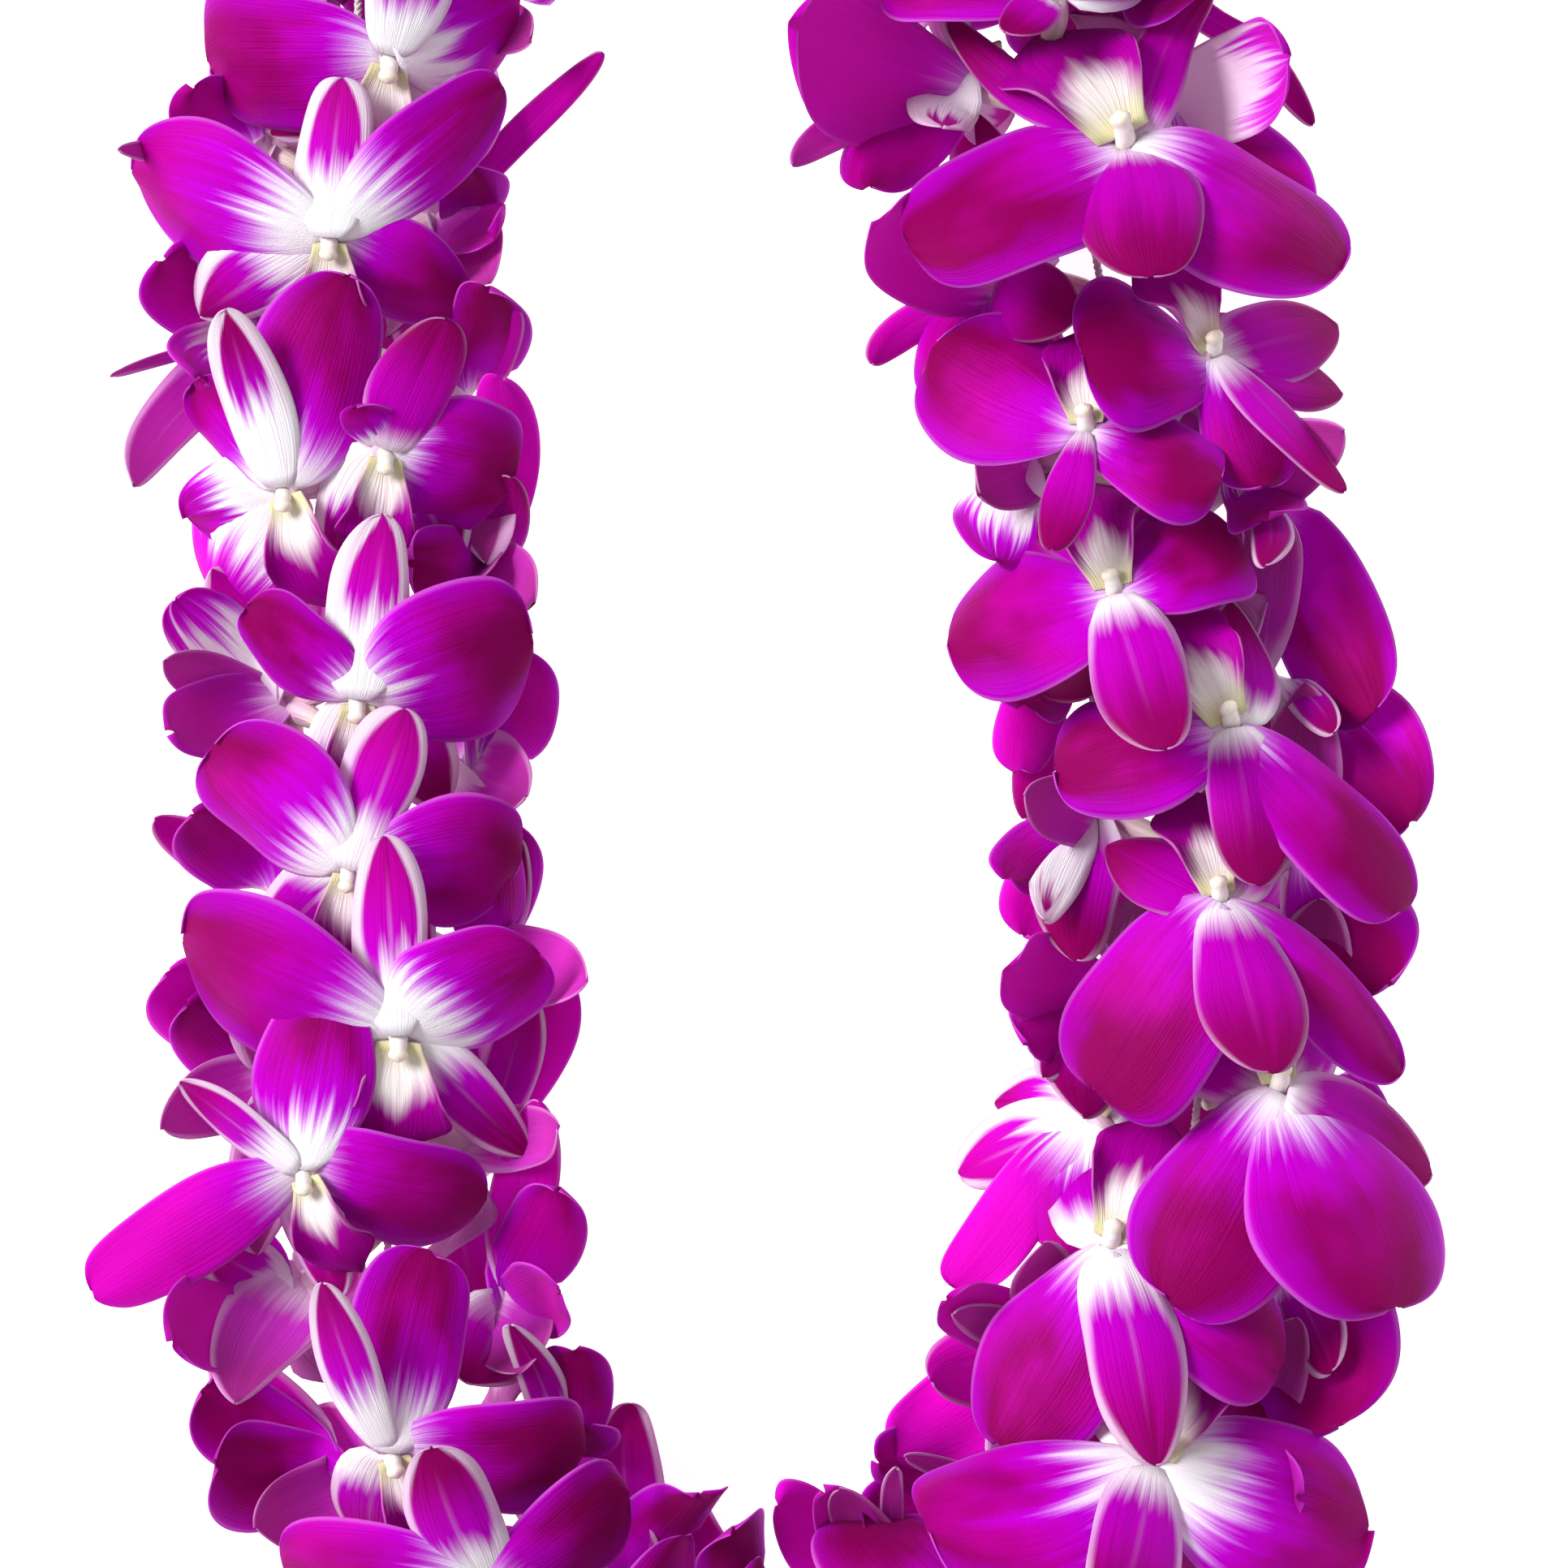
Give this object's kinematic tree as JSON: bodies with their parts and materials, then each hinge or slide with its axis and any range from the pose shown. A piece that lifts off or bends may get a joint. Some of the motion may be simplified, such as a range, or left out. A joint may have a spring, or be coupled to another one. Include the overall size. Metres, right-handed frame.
{
  "type": "flower lei",
  "caption": "Fresh orchid lei: purple dendrobium orchids strung close together round one cotton string tied in a long loop, laid flat",
  "frame": {"origin": "middle of the bounding box, on the table that the lei lies on", "axes": "+Z up from the table; +Y along the loop, away from its rounded lower end; +X to the right when seen from above with +Y up"},
  "size_m": [0.1876, 0.46, 0.0543],
  "materials": {
    "orchid": "soft satin, as a fresh petal has",
    "cotton": "twisted cotton thread"
  },
  "bodies": {
    "root": {"orchids_01": "orchid", "orchids_02": "orchid", "orchids_03": "orchid", "orchids_04": "orchid", "orchids_05": "orchid", "orchids_06": "orchid", "orchids_07": "orchid", "orchids_08": "orchid", "orchids_09": "orchid", "orchids_10": "orchid", "orchids_11": "orchid", "orchids_12": "orchid", "orchids_13": "orchid", "orchids_14": "orchid", "orchids_15": "orchid", "orchids_16": "orchid", "orchids_17": "orchid", "orchids_18": "orchid", "orchids_19": "orchid", "orchids_20": "orchid", "orchids_21": "orchid", "orchids_22": "orchid", "orchids_23": "orchid", "orchids_24": "orchid", "orchids_25": "orchid", "orchids_26": "orchid", "orchids_27": "orchid", "orchids_28": "orchid", "orchids_29": "orchid", "orchids_30": "orchid", "orchids_31": "orchid", "orchids_32": "orchid", "string": "cotton"}
  },
  "joints": []
}
